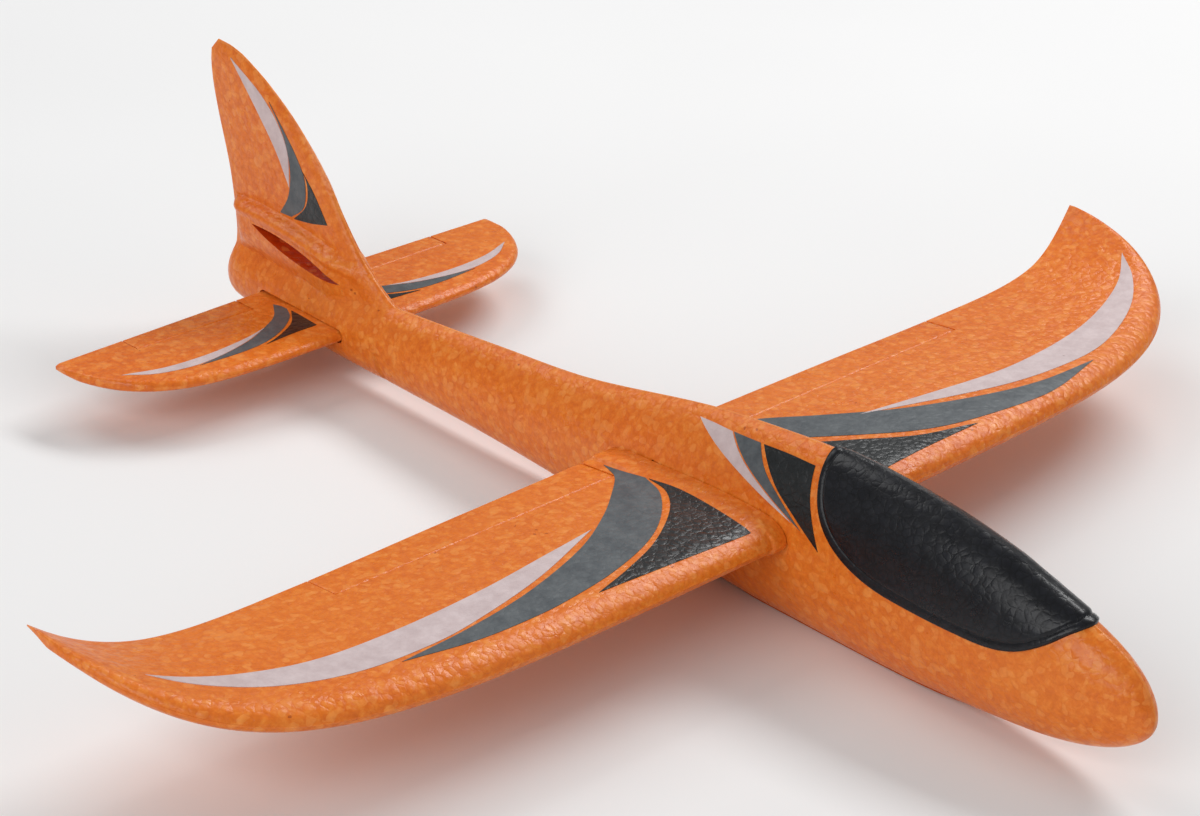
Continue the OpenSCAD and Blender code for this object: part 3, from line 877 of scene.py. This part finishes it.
# ---------------------------------------------------------------- printed films
def curve_through(points, step=1.2):
    """A smooth curve through the points (Catmull-Rom), as points about a step apart."""
    p = np.asarray(points, float)
    if len(p) == 2:
        count = max(int(np.linalg.norm(p[1] - p[0]) / step), 1)
        return p[0] + (p[1] - p[0]) * (np.arange(count) / count)[:, None]
    ends = np.vstack([2 * p[0] - p[1], p, 2 * p[-1] - p[-2]])
    out = []
    for a, b, c, d in zip(ends[:-3], ends[1:-2], ends[2:-1], ends[3:]):
        count = max(int(np.linalg.norm(c - b) / step), 1)
        for t in np.arange(count) / count:
            out.append(0.5 * (2 * b + (c - a) * t + (2 * a - 5 * b + 4 * c - d) * t ** 2
                              + (3 * b - a - 3 * c + d) * t ** 3))
    return np.array(out)


FILM_LIFT, FILM_SINK = 0.16, 0.12    # how far a film stands over its foam, and reaches into it
NUDGE = 0.05                         # step used to find the surface's slope


def inside_outline(outline, points):
    """Whether each point is inside, by counting the outline's crossings on one side of it."""
    inside = np.zeros(len(points), bool)
    for (x0, y0), (x1, y1) in zip(outline, np.roll(outline, -1, axis=0)):
        hit = (y0 > points[:, 1]) != (y1 > points[:, 1])
        if y1 != y0:
            inside ^= hit & (points[:, 0] < (x1 - x0) * (points[:, 1] - y0) / (y1 - y0) + x0)
    return inside


def flat_mesh(outline, pitch):
    """The outline's inside as triangles over a grid of points."""
    low, high = outline.min(axis=0), outline.max(axis=0)
    axes = np.meshgrid(np.arange(low[0], high[0], pitch), np.arange(low[1], high[1], pitch))
    grid = np.stack(axes, -1).reshape(-1, 2)
    clear = np.linalg.norm(grid[:, None] - outline[None], axis=2).min(axis=1) > 0.55 * pitch
    flat = np.vstack([outline, grid[inside_outline(outline, grid) & clear]])
    n = len(outline)
    edges = [(k, (k + 1) % n) for k in range(n)]
    verts, _, faces = delaunay_2d_cdt([Vector(q) for q in flat], edges, [], 1, 1e-5)[:3]
    return np.array([(v[0], v[1]) for v in verts]), faces


def closed_sheet(faces, count):
    """Faces of a sheet whose top and underside have count points each, with its edge closed."""
    rim_edges = {}
    for f in faces:
        for i, j in zip(f, (*f[1:], f[0])):
            key = (min(i, j), max(i, j))
            rim_edges[key] = None if key in rim_edges else (i, j)
    solid = [tuple(f) for f in faces] + [tuple(count + i for i in f[::-1]) for f in faces]
    return solid + [(i, count + i, count + j, j) for pair in rim_edges.values() if pair for i, j in (pair,)]


def film(name, sides, place, body, colour, pitch=1.9):
    """A thin printed film: sides are the outline's curves in the surface's own (u, v)."""
    outline = np.vstack([curve_through(side) for side in sides])
    uv, faces = flat_mesh(outline, pitch)
    base = place(uv)
    du = place(uv + (NUDGE, 0)) - place(uv - (NUDGE, 0))
    dv = place(uv + (0, NUDGE)) - place(uv - (0, NUDGE))
    normal = np.cross(du, dv)
    normal /= np.linalg.norm(normal, axis=1)[:, None]
    normal *= np.sign((normal * place.outward(base)).sum(axis=1))[:, None]
    points = np.vstack([base + normal * FILM_LIFT, base - normal * FILM_SINK])
    obj = finish_mesh(make_object(name, points, closed_sheet(faces, len(uv))), FILM[colour], 40)
    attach(obj, body)
    return obj


class Surface:
    """A surface given by a function of (u, v), and the side that faces out."""

    def __init__(self, function, outward):
        self.function, self.outward = function, outward

    def __call__(self, uv):
        return self.function(uv[:, 0], uv[:, 1])


def wing_top(side):
    return Surface(lambda x, y: np.column_stack([x, side * y, wing_top_at(x, y)]),
                   lambda p: np.tile((0.0, 0.0, 1.0), (len(p), 1)))


def tail_top(side):
    return Surface(lambda x, y: np.column_stack([x, side * y, TAIL_Z + plate(x, y)]),
                   lambda p: np.tile((0.0, 0.0, 1.0), (len(p), 1)))


def flank(side):
    return Surface(lambda x, z: np.column_stack([x, side * side_w(x, z), z]),
                   lambda p: np.tile((0.0, side, 0.0), (len(p), 1)))


# Outlines of the films, as places on the wing, the tailplane or the side. Their points come from
# edges marked on the photo, which a scratch script cast onto the model, then thinned and rounded.
# They stand as an open fault.
WING_FILMS = {
    -1: {
        "grey": [[(16, 24.4), (24.5, 24.1), (34.2, 23)],
                 [(34.2, 23), (46, 27.8), (59, 41), (67.8, 56.5), (74, 77), (77, 97), (77.8, 112),
                  (76.5, 134), (71, 158.5)],
                 [(71, 158.5), (69.5, 131), (65.2, 103), (55.8, 73), (44, 51.5), (32.3, 36),
                  (25.8, 28.8), (21.5, 26.4), (16, 24.4)]],
        "black": [[(35.6, 22.8), (48.5, 21.9), (66, 23.2), (84, 25.4)],
                  [(84, 25.4), (83, 42), (81.6, 64), (80, 88)],
                  [(80, 88), (75.3, 71), (68.6, 53), (57.2, 35), (46.5, 25.5), (35.6, 22.8)]],
        "white": [[(48.5, 61), (51, 82), (54.4, 112), (55.5, 145), (53.3, 175), (46, 198.5), (35, 223.5)],
                  [(35, 223.5), (46, 212.5), (58.7, 194), (67, 171), (69.3, 146), (67.3, 125),
                   (60.5, 94), (48.5, 61)]],
    },
    1: {
        "grey": [[(16, 24.4), (24.5, 24.1), (34.2, 23)],
                 [(34.2, 23), (46, 33.5), (61, 52), (72.5, 69.5), (79, 89), (82.4, 115),
                  (82, 134), (77, 158.5)],
                 [(77, 158.5), (75.5, 130.5), (69, 105.5), (56.7, 77.5), (41, 54.5), (27.6, 37.7),
                  (25.4, 29.5), (21.5, 26.2), (16, 24.4)]],
        "black": [[(35.6, 22.8), (48.5, 21.9), (66, 23.2), (84, 25.4)],
                  [(84, 25.4), (82.6, 47), (82, 66), (82, 88.5)],
                  [(82, 88.5), (75, 66.7), (63.4, 49.3), (50, 32), (35.6, 22.8)]],
        "white": [[(50, 64), (54.5, 89), (59.2, 118), (60.4, 137), (58.6, 163), (54, 187),
                   (45, 213.5), (35, 228.7)],
                  [(35, 228.7), (46.4, 220.4), (57, 207), (65.5, 189), (71.5, 169), (72.7, 150),
                   (70.3, 125.5), (63.5, 101), (50, 64)]],
    },
}
TAIL_FILMS = {
    "grey": [[(-174, 13.4), (-171, 12.4), (-167.3, 12.2)],
             [(-167.3, 12.2), (-160.5, 16.3), (-153.8, 25.3), (-149.5, 36.5), (-148.4, 49), (-149.5, 66)],
             [(-149.5, 66), (-151.3, 52), (-154.6, 39), (-159.6, 28.5), (-165.2, 20), (-174, 13.4)]],
    "black": [[(-165, 12), (-157.5, 12.3), (-149, 12.8)],
              [(-149, 12.8), (-149, 23), (-147.9, 37)],
              [(-147.9, 37), (-150.6, 29), (-156.2, 19), (-165, 12)]],
    "white": [[(-159.4, 28.5), (-156.5, 40.5), (-154.8, 58), (-156, 76.5), (-161, 92)],
              [(-161, 92), (-154, 82), (-150.6, 69), (-150.8, 57), (-154, 42), (-159.4, 28.5)]],
}
FIN_FILMS = {
    "white": [[(-212.3, 106.6), (-203, 102.2), (-193.4, 97), (-184, 89), (-178, 79), (-176.7, 66)],
              [(-176.7, 66), (-185, 78), (-196, 90), (-212.3, 106.6)]],
    "grey": [[(-189.2, 96), (-180.3, 87.3), (-172.5, 79), (-167.6, 71), (-168, 61), (-175.2, 54.8)],
             [(-175.2, 54.8), (-182, 54.4)],
             [(-182, 54.4), (-177.2, 62.5), (-176.4, 73), (-180.2, 84.6), (-189.2, 96)]],
    "black": [[(-170.7, 76), (-162.5, 68.5), (-154.3, 58.3)],
              [(-154.3, 58.3), (-163.5, 56), (-173.8, 54.4)],
              [(-173.8, 54.4), (-166.7, 62), (-166.4, 70.8), (-170.7, 76)]],
}
FLANK_FILMS = {
    "white": [[(39.7, 56.4), (47, 57.1), (55.4, 57.6)],
              [(55.4, 57.6), (62.6, 53.2), (72, 48.9), (90.6, 41.8)],
              [(90.6, 41.8), (73, 46.2), (55, 51.3), (39.7, 56.4)]],
    "grey": [[(56, 57.7), (62.5, 58.2), (68.2, 58.7)],
             [(68.2, 58.7), (74.5, 52.8), (82.3, 48.1), (94.7, 40.8)],
             [(94.7, 40.8), (80, 46.2), (66, 52), (56, 57.7)]],
    "black": [[(69.7, 58.8), (81, 59.9), (92.4, 60.5)],
              [(92.4, 60.5), (95, 52.7), (98, 46.5), (103.2, 37)],
              [(103.2, 37), (90.8, 44.4), (80.6, 50.2), (69.7, 58.8)]],
}
for tag, side in (("left", 1), ("right", -1)):
    for colour, sides in WING_FILMS[side].items():
        film(tag + "_wing_film_" + colour, sides, wing_top(side), tag + "_wing_body", colour)
    for colour, sides in TAIL_FILMS.items():
        film(tag + "_tail_film_" + colour, sides, tail_top(side), "tailplane_body", colour, pitch=1.6)
    for colour, sides in FIN_FILMS.items():
        film(tag + "_fin_film_" + colour, sides, flank(side), "fuselage_body", colour, pitch=1.6)
    for colour, sides in FLANK_FILMS.items():
        film(tag + "_flank_film_" + colour, sides, flank(side), "fuselage_body", colour, pitch=1.6)


# ---------------------------------------------------------------- clip halves and nose weight
for node, material in (("left_wing_plug", CLIP_PLASTIC), ("right_wing_socket", CLIP_PLASTIC),
                       ("nose_weight", STEEL)):
    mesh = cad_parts[node].data
    mesh.materials.clear()
    mesh.materials.append(material)


# ---------------------------------------------------------------- floor, light and camera
def make_floor():
    look = Shading("pale_floor")
    look.colour(look.ramp(look.noise(3, 2), (0.3, (0.86, 0.86, 0.86)), (0.7, (0.89, 0.89, 0.89))))
    look.shader.inputs["Roughness"].default_value = 0.9
    look.shader.inputs["Specular IOR Level"].default_value = 0.1
    mesh = bpy.data.meshes.new("floor")
    r = 6.0
    mesh.from_pydata([(-r, -r, 0), (r, -r, 0), (r, r, 0), (-r, r, 0)], [], [(0, 1, 2, 3)])
    obj = bpy.data.objects.new("floor", mesh)
    bpy.context.scene.collection.objects.link(obj)
    mesh.materials.append(look.material)


def area_light(name, place, target, size, watts):
    lamp = bpy.data.lights.new(name, "AREA")
    lamp.shape = "RECTANGLE"
    lamp.size, lamp.size_y = size
    lamp.energy = watts
    obj = bpy.data.objects.new(name, lamp)
    obj.location = place
    obj.rotation_euler = (Vector(target) - Vector(place)).to_track_quat("-Z", "Y").to_euler()
    bpy.context.scene.collection.objects.link(obj)


make_floor()
area_light("key", (-0.12, 1.08, 1.25), (0.02, 0, 0.03), (1.3, 0.42), 15)
area_light("top", (-1.05, -0.13, 1.3), (0, 0, 0.03), (0.8, 0.8), 5)
area_light("fill", (0.3, -1.5, 1.0), (0, 0, 0.03), (1.4, 1.0), 13)
area_light("front", (1.6, 0.2, 0.9), (0.1, 0, 0.03), (1.0, 0.8), 1.2)

world = bpy.data.worlds.new("studio")
bpy.context.scene.world = world
world.use_nodes = True
sky = world.node_tree.nodes["Background"]
sky.inputs["Color"].default_value = (1.0, 1.0, 1.0, 1)
sky.inputs["Strength"].default_value = 0.27
bpy.context.scene.view_settings.view_transform = "Standard"

# The camera that was fitted to the photo's outline
lens = bpy.data.cameras.new("camera")
lens.lens = 90
lens.sensor_width = 36
lens.sensor_fit = "HORIZONTAL"
lens.clip_start = 0.05
camera = bpy.data.objects.new("camera", lens)
right = Vector((0.6912, 0.7219, 0.0337)).normalized()
back = Vector((0.6325, -0.6269, 0.4550)).normalized()
up = back.cross(right).normalized()
right = up.cross(back)
turn = Matrix((right, up, back)).transposed().to_4x4()
camera.matrix_world = Matrix.Translation((0.6365, -0.6421, 0.5041)) @ turn
bpy.context.scene.collection.objects.link(camera)
bpy.context.scene.camera = camera
